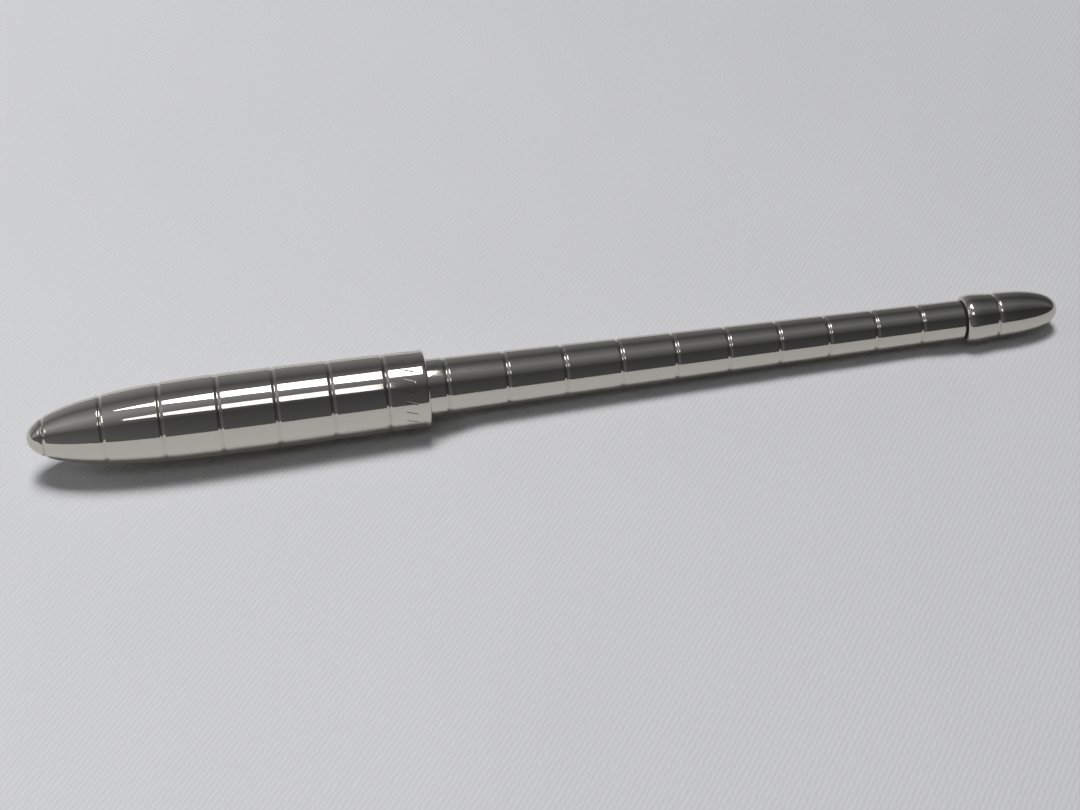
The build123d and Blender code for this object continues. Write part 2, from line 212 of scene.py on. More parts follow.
def barrel_radius(station):
    """The barrel's outer radius, a taper that slackens towards the tail."""
    run = station - BARREL_MOUTH
    return BARREL_MOUTH_R - BARREL_TAPER * run + BARREL_EASE * run**2


def groove_depth(station, rings):
    """How deep the ring grooves are at a station: a soft valley with rounded lips."""
    away = min(abs(station - ring) for ring in rings)
    return GROOVE_DEPTH * cos(pi * away / GROOVE_WIDTH) ** 2 if away < GROOVE_WIDTH / 2 else 0.0


# ---------------------------------------------------------------- turned meshes
def spaced(start, end, step):
    """Stations from start to end, evenly spaced at about a step."""
    count = max(1, round((end - start) / step))
    return [start + (end - start) * i / count for i in range(count + 1)]


def grooved(start, end, radius_at, rings):
    """An outer surface from start to end: fine steps across each groove, long ones between."""
    half = GROOVE_WIDTH / 2 + 0.1
    stations = []
    for station in spaced(start, end, 0.25):
        if all(abs(station - ring) > half for ring in rings):
            stations.append(station)
    for ring in rings:
        for station in spaced(ring - half, ring + half, 0.04):
            if start < station < end:
                stations.append(station)
    stations = sorted(set(stations + [start, end]))
    return [(s, radius_at(s) - groove_depth(s, rings)) for s in stations]


def place(station, radius, angle):
    """The point in the frame for a station and radius in millimetres."""
    return (NOSE_X + station * MM, radius * MM * cos(angle), radius * MM * sin(angle))


def lathe(name, outline, segments=SEGMENTS, shape=None, rings=(), engraving=None):
    """A closed mesh turned from an outline of (station, radius), its outer side first from nose to tail.

    shape(station, radius, angle) may move each point in or out. rings mark the grooves for the
    finish, and so does engraving, the depth of the marks that shape cuts.
    """
    points, worn, marked, starts = [], [], [], []
    for station, radius in outline:
        starts.append(len(points))
        count = segments if radius > 1e-6 else 1
        depth = groove_depth(station, rings) / GROOVE_DEPTH if rings else 0.0
        for k in range(count):
            angle = 2 * pi * k / segments
            shaped = shape(station, radius, angle) if shape else radius
            points.append(place(station, shaped, angle))
            worn.append(depth)
            marked.append((radius - shaped) / engraving if engraving else 0.0)
    faces = []
    for i in range(len(outline)):
        j = (i + 1) % len(outline)
        at_pole_i, at_pole_j = outline[i][1] <= 1e-6, outline[j][1] <= 1e-6
        if at_pole_i and at_pole_j:
            continue
        for k in range(segments):
            n = (k + 1) % segments
            a, b = starts[i] + k, starts[i] + n
            c, d = starts[j] + n, starts[j] + k
            if at_pole_i:
                faces.append((starts[i], c, d))
            elif at_pole_j:
                faces.append((a, b, starts[j]))
            else:
                faces.append((a, b, c, d))
    mesh = bpy.data.meshes.new(name)
    mesh.from_pydata(points, [], faces)
    mesh.attributes.new("groove", "FLOAT", "POINT").data.foreach_set("value", worn)
    mesh.attributes.new("engraved", "FLOAT", "POINT").data.foreach_set("value", marked)
    mesh.shade_smooth()
    mesh.set_sharp_from_angle(angle=radians(32))
    return mesh


# ---------------------------------------------------------------- node helpers
def new_material(name):
    """An empty node material and its Principled shader."""
    material = bpy.data.materials.new(name)
    material.use_nodes = True
    return material, material.node_tree, material.node_tree.nodes["Principled BSDF"]


def add(tree, kind, values=None, **settings):
    """A new node with its settings and its unlinked input values."""
    node = tree.nodes.new(kind)
    for key, value in settings.items():
        setattr(node, key, value)
    for key, value in (values or {}).items():
        node.inputs[key].default_value = value
    return node


def math_node(tree, operation, *values, clamp=False):
    """One Math node; its values are sockets or numbers."""
    node = add(tree, "ShaderNodeMath", operation=operation, use_clamp=clamp)
    for i, value in enumerate(values):
        if isinstance(value, (int, float)):
            node.inputs[i].default_value = value
        else:
            tree.links.new(value, node.inputs[i])
    return node.outputs[0]


def stretched(tree, scale):
    """Object coordinates stretched by a scale along each axis."""
    where = add(tree, "ShaderNodeTexCoord")
    mapping = add(tree, "ShaderNodeMapping", {"Scale": scale})
    tree.links.new(where.outputs["Object"], mapping.inputs["Vector"])
    return mapping.outputs["Vector"]


def noise(tree, vector, scale, detail=3.0, roughness=0.5):
    """A Noise node's grey value."""
    node = add(tree, "ShaderNodeTexNoise", {"Scale": scale, "Detail": detail, "Roughness": roughness})
    tree.links.new(vector, node.inputs["Vector"])
    return node.outputs["Fac"]


def remap(tree, value, low, high, to_low, to_high):
    """A Map Range node, clamped."""
    node = add(
        tree,
        "ShaderNodeMapRange",
        {"From Min": low, "From Max": high, "To Min": to_low, "To Max": to_high},
    )
    tree.links.new(value, node.inputs["Value"])
    return node.outputs["Result"]


def blend_colours(tree, factor, first, second):
    """A colour mix of two colours or sockets by a factor socket."""
    node = add(tree, "ShaderNodeMix", data_type="RGBA", blend_type="MIX")
    tree.links.new(factor, node.inputs["Factor"])
    for socket, value in ((node.inputs[6], first), (node.inputs[7], second)):
        if isinstance(value, tuple):
            socket.default_value = (*value, 1.0)
        else:
            tree.links.new(value, socket)
    return node.outputs[2]


def bump(tree, shader, height, strength, distance):
    """Fine relief on a shader's normal."""
    node = add(tree, "ShaderNodeBump", {"Strength": strength, "Distance": distance})
    tree.links.new(height, node.inputs["Height"])
    tree.links.new(node.outputs["Normal"], shader.inputs["Normal"])


# ---------------------------------------------------------------- materials
def plated(name, colour, tarnish, gloss, smudged):
    """Polished plate: a gentle wave, fine scratches, smudges, dulled grooves, darkened engraving."""
    material, tree, shader = new_material(name)
    shader.inputs["Metallic"].default_value = 1.0
    every_way = stretched(tree, (1, 1, 1))
    groove = add(tree, "ShaderNodeAttribute", attribute_name="groove").outputs["Fac"]
    cloud = noise(tree, every_way, 260, 4, 0.6)
    dulled = math_node(tree, "MULTIPLY", groove, remap(tree, cloud, 0.3, 0.7, 0.4, 1.0), clamp=True)
    mark = add(tree, "ShaderNodeAttribute", attribute_name="engraved").outputs["Fac"]
    engraved = math_node(tree, "MULTIPLY", mark, 1.4, clamp=True)
    metal = blend_colours(tree, dulled, colour, tarnish)
    tree.links.new(blend_colours(tree, engraved, metal, ENGRAVED), shader.inputs["Base Color"])
    smudge = remap(tree, cloud, 0.45, 0.75, gloss, gloss + smudged)
    rough = math_node(tree, "MULTIPLY_ADD", dulled, 0.03, smudge)
    rough = math_node(tree, "MULTIPLY_ADD", engraved, 0.25, rough)
    tree.links.new(rough, shader.inputs["Roughness"])
    wave = noise(tree, every_way, 210, 1, 0.4)
    bump(tree, shader, wave, 1.0, 0.000006)
    scratches = noise(tree, stretched(tree, (0.25, 1.6, 1.6)), 6000, 2, 0.5)
    fine = add(tree, "ShaderNodeBump", {"Strength": 0.5, "Distance": 0.0000008})
    tree.links.new(scratches, fine.inputs["Height"])
    tree.links.new(shader.inputs["Normal"].links[0].from_socket, fine.inputs["Normal"])
    tree.links.new(fine.outputs["Normal"], shader.inputs["Normal"])
    return material


def brushed(name, colour, rough, line_scale, depth):
    """Turned or drawn metal with fine lines round the pen."""
    material, tree, shader = new_material(name)
    shader.inputs["Metallic"].default_value = 1.0
    lines = noise(tree, stretched(tree, (1, 0.03, 0.03)), line_scale, 3, 0.6)
    cloud = noise(tree, stretched(tree, (1, 1, 1)), 400, 3, 0.5)
    dull = tuple(c * 0.72 for c in colour)
    tree.links.new(
        blend_colours(tree, remap(tree, cloud, 0.35, 0.7, 0.0, 0.6), colour, dull),
        shader.inputs["Base Color"],
    )
    tree.links.new(remap(tree, lines, 0.2, 0.8, rough * 0.8, rough * 1.25), shader.inputs["Roughness"])
    bump(tree, shader, lines, depth, 0.00003)
    return material


def moulded(name, colour, shade, rough, grain=2500, depth=0.12):
    """Moulded plastic or rubber: a fine grain, and a slight unevenness in colour."""
    material, tree, shader = new_material(name)
    every_way = stretched(tree, (1, 1, 1))
    cloud = noise(tree, every_way, 180, 3, 0.5)
    fine = noise(tree, every_way, grain, 3, 0.6)
    tree.links.new(
        blend_colours(tree, remap(tree, cloud, 0.3, 0.7, 0.0, 1.0), colour, shade),
        shader.inputs["Base Color"],
    )
    tree.links.new(remap(tree, fine, 0.25, 0.75, rough * 0.85, rough * 1.2), shader.inputs["Roughness"])
    bump(tree, shader, fine, depth, 0.00004)
    return material


def make_materials():
    """One material for each of the record's slots."""
    plate = (0.61, 0.59, 0.53)
    tarnish = (0.56, 0.535, 0.47)
    return {
        "cap_plating": plated("cap_plating", plate, tarnish, 0.03, 0.03),
        "barrel_plating": plated("barrel_plating", plate, tarnish, 0.03, 0.04),
        "tail_plating": plated("tail_plating", plate, tarnish, 0.035, 0.04),
        "section_plating": plated("section_plating", (0.60, 0.58, 0.535), tarnish, 0.07, 0.05),
        "satin_steel": brushed("satin_steel", (0.58, 0.56, 0.515), 0.24, 7000, 0.25),
        "screw_steel": brushed("screw_steel", (0.50, 0.49, 0.475), 0.30, 5000, 0.3),
        "spring_steel": brushed("spring_steel", (0.44, 0.43, 0.42), 0.28, 6000, 0.2),
        "turned_brass": brushed("turned_brass", (0.72, 0.52, 0.22), 0.26, 6000, 0.3),
        "liner_alloy": brushed("liner_alloy", (0.68, 0.69, 0.70), 0.34, 8000, 0.25),
        "tip_alloy": brushed("tip_alloy", (0.74, 0.72, 0.66), 0.20, 9000, 0.2),
        "ball_carbide": brushed("ball_carbide", (0.34, 0.34, 0.36), 0.18, 20000, 0.05),
        "liner_plastic": moulded("liner_plastic", (0.026, 0.027, 0.029), (0.04, 0.041, 0.043), 0.42),
        "seal_rubber": moulded(
            "seal_rubber", (0.012, 0.012, 0.012), (0.022, 0.021, 0.02), 0.6, 4000, 0.3
        ),
        "washer_fibre": moulded(
            "washer_fibre", (0.020, 0.018, 0.016), (0.035, 0.03, 0.026), 0.75, 5000, 0.4
        ),
        "socket_plastic": moulded("socket_plastic", (0.035, 0.036, 0.04), (0.06, 0.061, 0.066), 0.38),
        "refill_plastic": moulded("refill_plastic", (0.62, 0.63, 0.62), (0.52, 0.53, 0.53), 0.3),
        "ink": moulded("ink", (0.006, 0.008, 0.028), (0.01, 0.012, 0.04), 0.2, 1500, 0.05),
        "follower_gel": moulded(
            "follower_gel", (0.46, 0.42, 0.30), (0.38, 0.35, 0.26), 0.25, 1500, 0.05
        ),
    }


materials = make_materials()
SLOT_OF = {part["node"]: part["material_slot"] for part in frame["record"]["subparts"]}


def stand_in(node, mesh):
    """The finished piece that is shown in place of a CAD node."""
    piece = bpy.data.objects.new(f"{node}_finished", mesh)
    bpy.context.scene.collection.objects.link(piece)
    piece.data.materials.append(materials[SLOT_OF[node]])
    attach(piece, frame["nodes"][node]["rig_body"])
    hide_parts(node)
    return piece


def dress_nodes():
    """Gives every CAD node its slot's material."""
    for name, node in frame["nodes"].items():
        node.data.materials.clear()
        node.data.materials.append(materials[SLOT_OF[name]])


# ---------------------------------------------------------------- cap
def cap_finial_mesh():
    """The nose, a dome that ends half way through the first ring groove."""
    top = asin((cap_radius(FINIAL_RING) / CAP_R) ** (NOSE_POWER / 2))
    dome = []
    for i in range(49):
        turn = top * i / 48
        station = OGIVE_LENGTH * (1 - cos(turn) ** (2 / NOSE_POWER))
        radius = CAP_R * sin(turn) ** (2 / NOSE_POWER)
        dome.append((station, radius - groove_depth(station, [FINIAL_RING])))
    edge = dome[-1][1]
    dome[-1] = (FINIAL_RING - SEAM, edge)
    inside = [
        (FINIAL_RING, edge - SEAM),
        (FINIAL_RING, FINIAL_SPIGOT_R),
        (FINIAL_SPIGOT_END, FINIAL_SPIGOT_R),
        (FINIAL_SPIGOT_END, FINIAL_THREAD_R),
        (FINIAL_THREAD_END, FINIAL_THREAD_R),
        (FINIAL_THREAD_END, 0.0),
    ]
    return lathe("cap_finial_finished", dome + inside, rings=[FINIAL_RING])


def cap_shell_mesh():
    """The cap's body, with its ring grooves, bore and finial hole."""
    outer = grooved(FINIAL_RING + SEAM, BAND_RING - SEAM, cap_radius, CAP_RINGS)
    first, last = outer[0][1], outer[-1][1]
    inside = [
        (BAND_RING, last - SEAM),
        (BAND_RING, CAP_BORE_R),
        (CAP_BORE_END, CAP_BORE_R),
        (CAP_BORE_END, SCREW_HOLE_R),
        (SPIGOT_SEAT_END, SCREW_HOLE_R),
        (SPIGOT_SEAT_END, SPIGOT_SEAT_R),
        (FINIAL_RING, SPIGOT_SEAT_R),
        (FINIAL_RING, first - SEAM),
    ]
    return lathe("cap_shell_finished", outer + inside, rings=CAP_RINGS)


def rounded_lip(station, radius, size):
    """A quarter round at a turned edge that faces the tail."""
    turns = [radians(90 - 9 * i) for i in range(11)]
    return [(station - size + size * cos(t), radius - size + size * sin(t)) for t in turns]


def ticked(station, radius, angle):
    """The band's radius at a point, lower along a row of short leaning ticks that runs round it."""
    run = station - TICK_CENTRE
    if radius < CAP_BORE_R or abs(run) > TICK_REACH:
        return radius
    spacing = 2 * pi * CAP_LIP_R / TICK_COUNT
    around = angle * CAP_LIP_R - run / TICK_REACH * TICK_LEAN / 2
    away = abs(around / spacing % 1 - 0.5) * spacing
    if away > TICK_LINE / 2:
        return radius
    ends = min(1.0, (TICK_REACH - abs(run)) / 0.12)
    return radius - TICK_DEPTH * ends * cos(pi * away / TICK_LINE) ** 2


def cap_band_mesh():
    """The band at the cap's lip, with a row of plain engraved ticks."""
    outer = grooved(BAND_RING + SEAM, CAP_LIP - LIP_ROUND - 0.05, cap_radius, [BAND_RING])
    fine = spaced(TICK_CENTRE - TICK_REACH - 0.05, TICK_CENTRE + TICK_REACH + 0.05, 0.05)
    outer = [point for point in outer if not fine[0] <= point[0] <= fine[-1]]
    outer = sorted(outer + [(s, cap_radius(s)) for s in fine])
    first = outer[0][1]
    slot_start, slot_end = CLUTCH_SLOT
    inside = [
        (CAP_LIP, BAND_BORE_R + 0.2),
        (CAP_LIP - 0.2, BAND_BORE_R),
        (slot_end, BAND_BORE_R),
        (slot_end, CLUTCH_SLOT_R),
        (slot_start, CLUTCH_SLOT_R),
        (slot_start, BAND_FRONT_BORE_R),
        (BAND_SPIGOT_START, BAND_FRONT_BORE_R),
        (BAND_SPIGOT_START, BAND_SPIGOT_R),
        (BAND_RING, BAND_SPIGOT_R),
        (BAND_RING, first - SEAM),
    ]
    outline = outer + rounded_lip(CAP_LIP, CAP_LIP_R, LIP_ROUND) + inside
    return lathe(
        "cap_band_finished",
        outline,
        segments=768,
        shape=ticked,
        rings=[BAND_RING],
        engraving=TICK_DEPTH,
    )


# ---------------------------------------------------------------- barrel
def barrel_tube_mesh():
    """The barrel, with its ring grooves and its bore."""
    outer = grooved(BARREL_MOUTH, BARREL_END, barrel_radius, BARREL_RINGS)
    bore = [(s, barrel_radius(s) - BARREL_WALL) for s in spaced(BARREL_MOUTH, BARREL_END, 1.5)]
    return lathe("barrel_tube_finished", outer + bore[::-1], rings=BARREL_RINGS)


def tail_washer_mesh():
    """The dark washer between the barrel and the tail collar."""
    edge = barrel_radius(BARREL_END) - 0.08
    outline = [
        (BARREL_END, edge - 0.05),
        (BARREL_END + 0.05, edge),
        (WASHER_END - 0.05, edge),
        (WASHER_END, edge - 0.05),
        (WASHER_END, TAIL_SCREW_HOLE_R),
        (BARREL_END, TAIL_SCREW_HOLE_R),
    ]
    return lathe("tail_washer_finished", outline)


def bezier(a, b, c, d, count):
    """Points on one cubic curve, without the last."""
    found = []
    for i in range(count):
        t = i / count
        weights = ((1 - t) ** 3, 3 * t * (1 - t) ** 2, 3 * t * t * (1 - t), t**3)
        found.append(tuple(sum(w * p[axis] for w, p in zip(weights, (a, b, c, d))) for axis in (0, 1)))
    return found


def tail_collar_mesh():
    """The rounded collar that the barrel screws up to."""
    start = (WASHER_END, barrel_radius(BARREL_END) + 0.03)
    crest = (COLLAR_CREST, COLLAR_R)
    rise = bezier(start, (WASHER_END + 0.05, 2.68), (COLLAR_CREST - 0.75, COLLAR_R), crest, 30)
    joint = (TAIL_JOINT, KNOB_R)
    back = bezier(crest, (COLLAR_CREST + 0.9, COLLAR_R), (TAIL_JOINT - 0.9, 2.72), joint, 50)
    outer = [(s, r - groove_depth(s, [TAIL_JOINT])) for s, r in rise + back]
    edge = KNOB_R - GROOVE_DEPTH
    inside = [
        (TAIL_JOINT - SEAM, edge),
        (TAIL_JOINT, edge - SEAM),
        (TAIL_JOINT, TAIL_SPIGOT_SEAT_R),
        (TAIL_JOINT - 1.5, TAIL_SPIGOT_SEAT_R),
        (TAIL_JOINT - 1.5, TAIL_SCREW_HOLE_R),
        (WASHER_END, TAIL_SCREW_HOLE_R),
    ]
    return lathe("tail_collar_finished", outer + inside, rings=[TAIL_JOINT])


def tail_knob_mesh():
    """The tail knob, a full plain dome."""
    length = PEN_LENGTH - TAIL_JOINT
    dome = []
    for i in range(97):
        turn = pi / 2 * i / 96
        station = TAIL_JOINT + length * sin(turn) ** (2 / KNOB_POWER)
        radius = KNOB_R * cos(turn) ** (2 / KNOB_POWER) if i < 96 else 0.0
        dome.append((station, radius - (groove_depth(station, [TAIL_JOINT]) if i < 96 else 0.0)))
    dome[0] = (TAIL_JOINT + SEAM, dome[0][1])
    inside = [
        (TAIL_SCREW_HOLE_END, 0.0),
        (TAIL_SCREW_HOLE_END, TAIL_SCREW_HOLE_R),
        (TAIL_JOINT - 1.4, TAIL_SCREW_HOLE_R),
        (TAIL_JOINT - 1.4, TAIL_SPIGOT_R),
        (TAIL_JOINT, TAIL_SPIGOT_R),
        (TAIL_JOINT, dome[0][1] - SEAM),
    ]
    return lathe("tail_knob_finished", dome + inside, rings=[TAIL_JOINT])


# ---------------------------------------------------------------- section
def threaded(station, radius, angle):
    """The section's radius at a point, cut by a right-handed thread on its rear end."""
    from_end = min(station - THREAD_START, THREAD_END - station)
    if radius < SECTION_BORE_R + 0.1 or from_end <= 0:
        return radius
    turn = station / THREAD_PITCH - angle / (2 * pi)
    return radius - THREAD_DEPTH * min(1.0, from_end / 0.5) * (0.5 - 0.5 * cos(2 * pi * turn))


def grip_radius(station):
    """The grip's outer radius, a straight taper."""
    slope = (GRIP_BACK_R - GRIP_FRONT_R) / (GRIP_BACK - GRIP_FRONT)
    return GRIP_FRONT_R + slope * (station - GRIP_FRONT)


def grip_section_mesh():
    """The grip, with two ring grooves, the collar's seat, the seal's neck and the threaded rear end."""
    grip = grooved(GRIP_FRONT + SEAM, GRIP_BACK - SEAM, grip_radius, GRIP_RINGS)
    seat = [
        (GRIP_BACK, GRIP_BACK_R - SEAM),
        (GRIP_BACK, SLEEVE_R),
        (BARREL_MOUTH, SLEEVE_R),
        (BARREL_MOUTH, SEAL_NECK_R),
        (THREAD_START, SEAL_NECK_R),
    ]
    thread = [(s, THREAD_R) for s in spaced(THREAD_START, THREAD_END - 0.2, 0.04)]
    spigot_hole_r = SECTION_BORE_R + NOSE_SPIGOT_WALL + 0.03
    inside = [
        (THREAD_END, THREAD_R - 0.25),
        (THREAD_END, SECTION_BORE_R),
        (NOSE_SPIGOT_END + 0.05, SECTION_BORE_R),
        (NOSE_SPIGOT_END + 0.05, spigot_hole_r),
        (GRIP_FRONT, spigot_hole_r),
        (GRIP_FRONT, GRIP_FRONT_R - SEAM),
    ]
    outline = grip + seat + thread + inside
    return lathe("grip_section_finished", outline, segments=192, shape=threaded, rings=GRIP_RINGS)


def nose_cone_mesh():
    """The tapering nose that the writing tip looks out of."""
    front, middle = (NOSE_FRONT + 0.05, 1.42), (NOSE_SHOULDER, 2.18)
    back = (GRIP_FRONT - SEAM, GRIP_FRONT_R)
    outer = bezier(front, (24.25, 1.72), (25.2, 2.01), middle, 24)
    outer += bezier(middle, (27.45, 2.39), (28.75, 2.56), back, 24) + [back]
    inside = [
        (GRIP_FRONT, GRIP_FRONT_R - SEAM),
        (GRIP_FRONT, SECTION_BORE_R + NOSE_SPIGOT_WALL),
        (NOSE_SPIGOT_END, SECTION_BORE_R + NOSE_SPIGOT_WALL),
        (NOSE_SPIGOT_END, SECTION_BORE_R),
        (NOSE_SHOULDER, SECTION_BORE_R),
        (NOSE_SHOULDER, NOSE_BORE_R),
        (NOSE_FRONT, NOSE_BORE_R),
        (NOSE_FRONT, 1.37),
    ]
    return lathe("nose_cone_finished", outer + inside)


def clutch_collar_mesh():
    """The satin collar that the cap's spring ring grips, with a broken edge at each end."""
    start, end = GRIP_BACK, BARREL_MOUTH - 0.05
    outline = [
        (start, FLANGE_R - 0.15),
        (start + 0.07, FLANGE_R - 0.05),
        (start + 0.2, FLANGE_R),
        (end - 0.06, FLANGE_R),
        (end, FLANGE_R - 0.06),
        (end, COLLAR_BORE_R),
        (start, COLLAR_BORE_R),
    ]
    return lathe("clutch_collar_finished", outline)


def section_o_ring_mesh():
    """The rubber ring that seals the section's neck in the barrel's mouth."""
    turns = [pi - 2 * pi * i / 32 for i in range(32)]
    outline = [(O_RING_STATION + O_RING_R * cos(t), O_RING_COIL_R + O_RING_R * sin(t)) for t in turns]
    return lathe("section_o_ring_finished", outline)


def inner_cap_mesh():
    """The thin liner that closes round the grip and keeps the tip from drying."""
    outline = [
        (LINER_START, LINER_R - 0.04),
        (LINER_START + 0.1, LINER_R),
        (LINER_END - 0.06, LINER_R),
        (LINER_END, LINER_R - 0.06),
        (LINER_END, LINER_BORE_R + 0.25),
        (LINER_END - 0.05, LINER_BORE_R + 0.19),
        (LINER_END - 1.2, LINER_BORE_R),
        (LINER_FLOOR_END, LINER_BORE_R),
        (LINER_FLOOR_END, SCREW_HOLE_R),
        (LINER_START, SCREW_HOLE_R),
    ]
    return lathe("inner_cap_finished", outline)


# ---------------------------------------------------------------- refill
def writing_tip_mesh():
    """The tip's cone, with its rim turned in over the ball and the ball's seat behind it."""
    outer = [
        (BALL_STATION - 0.15, 0.385),
        (BALL_STATION - 0.13, 0.425),
        (BALL_STATION - 0.02, 0.465),
        (TIP_BORE_FRONT - 0.05, TIP_R - 0.03),
        (TIP_BORE_FRONT + 0.02, TIP_R),
        (TIP_BACK - 0.06, TIP_R),
        (TIP_BACK, TIP_R - 0.06),
    ]
    duct = [(TIP_BACK, TIP_BORE_R), (TIP_BORE_FRONT, TIP_BORE_R), (INK_DUCT_BACK, INK_DUCT_R)]
    turns = [radians(26 + 8 * i) for i in range(12)]
    seat = [(BALL_STATION + BALL_SEAT_R * cos(t), BALL_SEAT_R * sin(t)) for t in turns]
    return lathe("writing_tip_finished", outer + duct + seat, segments=96)


def writing_ball_mesh():
    """The ball that rolls in the tip."""
    turns = [pi * i / 32 for i in range(33)]
    outline = [(BALL_STATION - BALL_R * cos(t), BALL_R * sin(t)) for t in turns]
    return lathe("writing_ball_finished", outline, segments=64)


def refill_spring_mesh():
    """The small spring behind the refill: round wire along a helix, with flat cut ends."""
    steps, sides = 40 * SPRING_TURNS, 14
    points, faces = [], [tuple(range(sides))]
    for i in range(steps + 1):
        centre = SPRING_START + (SPRING_END - SPRING_START) * i / steps
        for k in range(sides):
            around = 2 * pi * k / sides
            station = centre + SPRING_WIRE_R * sin(around)
            radius = SPRING_COIL_R + SPRING_WIRE_R * cos(around)
            points.append(place(station, radius, 2 * pi * SPRING_TURNS * i / steps))
    for i in range(steps):
        for k in range(sides):
            a, b = i * sides + k, i * sides + (k + 1) % sides
            faces.append((a, a + sides, b + sides, b))
    faces.append(tuple(range(len(points) - 1, len(points) - 1 - sides, -1)))
    mesh = bpy.data.meshes.new("refill_spring_finished")
    mesh.from_pydata(points, [], faces)
    mesh.shade_smooth()
    mesh.set_sharp_from_angle(angle=radians(50))
    return mesh


def squashable_spring():
    """The spring behind the refill, standing in for its CAD node on a mesh of its own."""
    spring = stand_in("refill_spring", refill_spring_mesh())
    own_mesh(spring)


# ---------------------------------------------------------------- stage
def eased(value, start, end):
    """0 before start, 1 after end, and a smooth step between."""
    share = min(1.0, max(0.0, (value - start) / (end - start)))
    return share * share * (3 - 2 * share)


def cloth_height(station, side):
    """A level cloth that touches the cap's lip and the tail collar, and swells up under the barrel."""
    slope = (CAP_LIP_R - COLLAR_R) / (COLLAR_CREST - CAP_LIP)
    depth = CAP_LIP_R - (station - CAP_LIP) * slope
    clear = max(0.0, depth - barrel_radius(station) - CLOTH_GAP)
    along = eased(station, CAP_LIP + 0.2, 51.0) * eased(-station, -BARREL_END, -102.0)
    return clear * along * exp(-((side / SWELL_REACH) ** 2)) - depth


def floor_cloth():
    """A plain pale floor for the pen to lie on."""
    far = [100.0, 300.0, 1000.0]
    stations = [-d for d in far[::-1]] + spaced(-20, 140, 1.0) + [140 + d for d in far]
    sides = [-d for d in far[::-1]] + spaced(-30, 30, 1.0) + far
    points = [(NOSE_X + s * MM, d * MM, cloth_height(s, d) * MM) for s in stations for d in sides]
    row = len(sides)
    faces = []
    for i in range(len(stations) - 1):
        for k in range(row - 1):
            corner = i * row + k
            faces.append((corner, corner + row, corner + row + 1, corner + 1))
    mesh = bpy.data.meshes.new("floor")
    mesh.from_pydata(points, [], faces)
    mesh.shade_smooth()
    plane = bpy.data.objects.new("floor", mesh)
    bpy.context.scene.collection.objects.link(plane)
    mesh.materials.append(floor_material())


def floor_material():
    """Pale cloth: matt grey-white, with a fine diagonal weave and the faintest mottling."""
    material, tree, shader = new_material("pale_cloth")
    soft = noise(tree, stretched(tree, (1, 1, 1)), 25, 3, 0.5)
    turned = add(tree, "ShaderNodeMapping", {"Rotation": (0, 0, radians(38)), "Scale": (1, 1, 1)})
    tree.links.new(add(tree, "ShaderNodeTexCoord").outputs["Object"], turned.inputs["Vector"])
    weave = add(
        tree,
        "ShaderNodeTexWave",
        {"Scale": 560.0, "Distortion": 2.6, "Detail": 2.0, "Detail Scale": 2.5},
    )
    tree.links.new(turned.outputs["Vector"], weave.inputs["Vector"])
    ribs = remap(tree, weave.outputs["Fac"], 0.0, 1.0, 0.0, 0.6)
    mottle = math_node(tree, "MULTIPLY_ADD", remap(tree, soft, 0.3, 0.7, 0.0, 1.0), 0.2, ribs)
    colour = blend_colours(tree, mottle, (0.756, 0.756, 0.771), (0.866, 0.866, 0.876))
    tree.links.new(colour, shader.inputs["Base Color"])
    shader.inputs["Roughness"].default_value = 0.85
    shader.inputs["Specular IOR Level"].default_value = 0.25
    bump(tree, shader, weave.outputs["Fac"], 0.25, 0.0001)
    return material


def toward(along, rise, distance):
    """A place seen from the pen's middle.

    along is degrees off the middle along the axis, and rise is degrees up from the front horizon.
    """
    return Vector((tan(radians(along)), -cos(radians(rise)), sin(radians(rise)))) * distance


def softbox(name, rise, thickness, left, right, radiance, in_metal=True):
    """A long rectangular light whose left end is farther away than its right end.

    rise is degrees round the pen's axis, thickness is degrees across at the right end, and left and
    right are each end's (degrees along the axis, distance in metres). in_metal is whether the metal
    mirrors it.
    """
    far, near = toward(left[0], rise, left[1]), toward(right[0], rise, right[1])
    data = bpy.data.lights.new(name, "AREA")
    data.shape = "RECTANGLE"
    data.size = (near - far).length
    data.size_y = 2 * right[1] * tan(radians(thickness / 2))
    data.energy = radiance * pi * data.size * data.size_y
    lengthways = (near - far).normalized()
    crossways = Vector((0, sin(radians(rise)), cos(radians(rise))))
    outwards = lengthways.cross(crossways)
    light = bpy.data.objects.new(name, data)
    light.matrix_world = Matrix((lengthways, crossways, outwards)).transposed().to_4x4()
    light.location = (near + far) / 2
    light.visible_glossy = in_metal
    bpy.context.scene.collection.objects.link(light)


def lights():
    """A long key softbox just behind overhead, a dimmer one in front, and one off the pen's nose.

    The key's beam adds light for matt surfaces, and the metal doesn't mirror it.
    """
    softbox("key_softbox", 100, 25, (-15, 20.0), (6, 1.5), 4.5)
    softbox("key_beam", 100, 25, (-15, 20.0), (6, 1.5), 17.8, in_metal=False)
    softbox("front_softbox", 65, 15, (-15, 5.0), (4, 1.5), 1.8)
    softbox("nose_softbox", 90, 30, (-60, 2.0), (-50, 2.0), 1.5)


def ramp(tree, factor, stops):
    """A Color Ramp of (position from 0 to 1, colour) stops."""
    node = add(tree, "ShaderNodeValToRGB")
    elements = node.color_ramp.elements
    while len(elements) < len(stops):
        elements.new(0.5)
    for element, (position, colour) in zip(elements, stops):
        element.position = position
        element.color = (*colour, 1.0)
    tree.links.new(factor, node.inputs["Fac"])
    return node.outputs["Color"]


def grey(level):
    """A level of the room's cool daylight grey."""
    return tuple(level * channel for channel in (0.98, 1.0, 1.07))


# The plain room that the metal shows: degrees round the pen from the front horizon over the top to
# the back horizon, and a level of grey.
ROOM = [(0, 0.15), (50, 0.10), (90, 0.45), (130, 0.15), (180, 0.45)]
# How bright the room's tail end is, as a share of its nose end.
TAIL_END_SHARE = 0.35
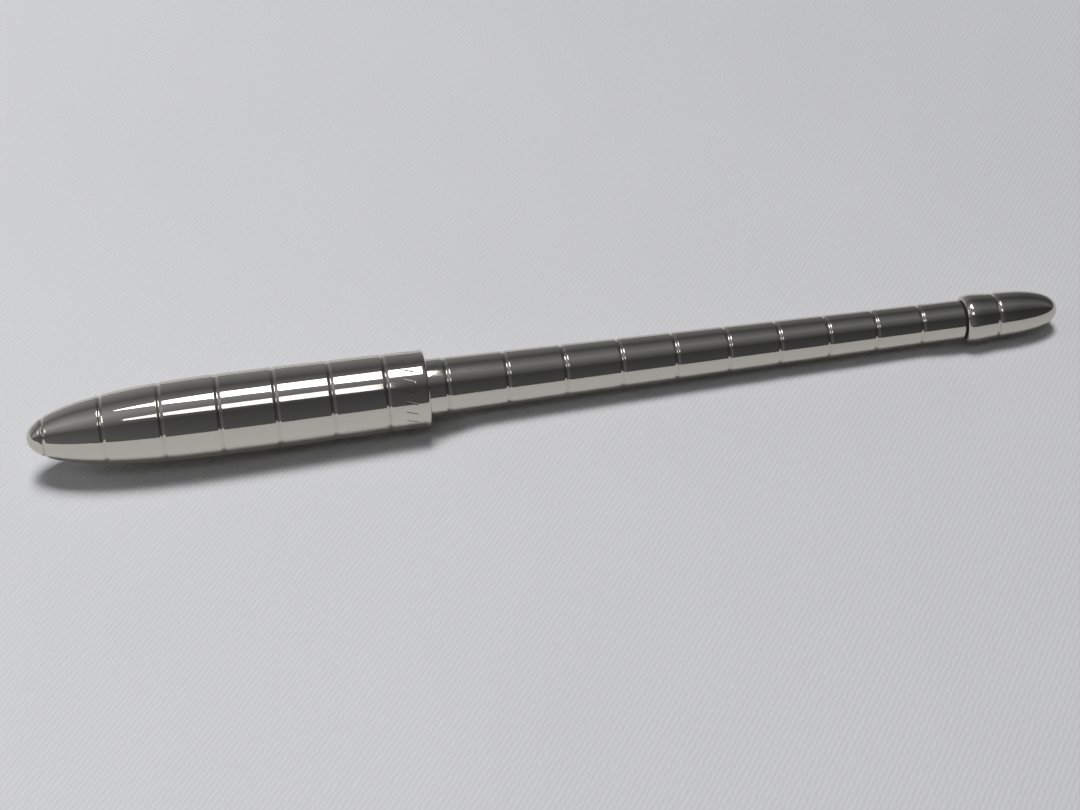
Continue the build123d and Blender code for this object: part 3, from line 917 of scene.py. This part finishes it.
# The plain grey past the floor's edge, and the share of the room's light that matt surfaces get.
BACKDROP = 0.62
MATT_SHARE = 0.45


def room_ramp(tree, rise, share):
    """The room's levels round the pen, times a share of their brightness."""
    return ramp(tree, rise, [(angle / 180, grey(level * share)) for angle, level in ROOM])


def world():
    """A plain soft room: dim in front, lighter overhead and behind, and darker towards the tail.

    It gives matt surfaces less light than it shows in the metal, as a flagged studio does. Past the
    floor's edge it is a plain backdrop.
    """
    studio = bpy.data.worlds.new("studio")
    bpy.context.scene.world = studio
    studio.use_nodes = True
    tree = studio.node_tree
    split = add(tree, "ShaderNodeSeparateXYZ")
    tree.links.new(add(tree, "ShaderNodeTexCoord").outputs["Generated"], split.inputs[0])
    along, side, up = split.outputs
    front = math_node(tree, "MULTIPLY", side, -1.0)
    rise = math_node(tree, "DIVIDE", math_node(tree, "ARCTAN2", up, front), pi, clamp=True)
    to_tail = remap(tree, along, -0.5, 0.5, 0.0, 1.0)
    nose_end, tail_end = room_ramp(tree, rise, 1.0), room_ramp(tree, rise, TAIL_END_SHARE)
    colour = blend_colours(tree, to_tail, nose_end, tail_end)
    rays = add(tree, "ShaderNodeLightPath")
    colour = blend_colours(tree, rays.outputs["Is Camera Ray"], colour, grey(BACKDROP))
    tree.links.new(colour, tree.nodes["Background"].inputs["Color"])
    strength = remap(tree, rays.outputs["Is Diffuse Ray"], 0.0, 1.0, 1.0, MATT_SHARE)
    tree.links.new(strength, tree.nodes["Background"].inputs["Strength"])


def camera():
    """The camera, above and a little to the left of the pen's middle."""
    azimuth, elevation = radians(-10.61), radians(44)
    target = Vector((-2.10, -0.10, -4.90)) * MM
    back = Vector((sin(azimuth) * cos(elevation), -cos(azimuth) * cos(elevation), sin(elevation)))
    data = bpy.data.cameras.new("camera")
    data.sensor_width = 36
    data.lens = 70
    data.clip_start = 0.01
    view = bpy.data.objects.new("camera", data)
    view.location = target + back * 0.2439
    view.rotation_mode = "QUATERNION"
    view.rotation_quaternion = (-back).to_track_quat("-Z", "Y")
    bpy.context.scene.collection.objects.link(view)
    bpy.context.scene.camera = view
    bpy.context.scene.view_settings.view_transform = "Standard"


dress_nodes()
FINISHED = {
    "cap_finial": cap_finial_mesh,
    "cap_shell": cap_shell_mesh,
    "cap_band": cap_band_mesh,
    "inner_cap": inner_cap_mesh,
    "barrel_tube": barrel_tube_mesh,
    "tail_washer": tail_washer_mesh,
    "tail_collar": tail_collar_mesh,
    "tail_knob": tail_knob_mesh,
    "grip_section": grip_section_mesh,
    "nose_cone": nose_cone_mesh,
    "clutch_collar": clutch_collar_mesh,
    "section_o_ring": section_o_ring_mesh,
    "writing_tip": writing_tip_mesh,
    "writing_ball": writing_ball_mesh,
}
for name, make_mesh in FINISHED.items():
    stand_in(name, make_mesh())
squashable_spring()
floor_cloth()
lights()
world()
camera()
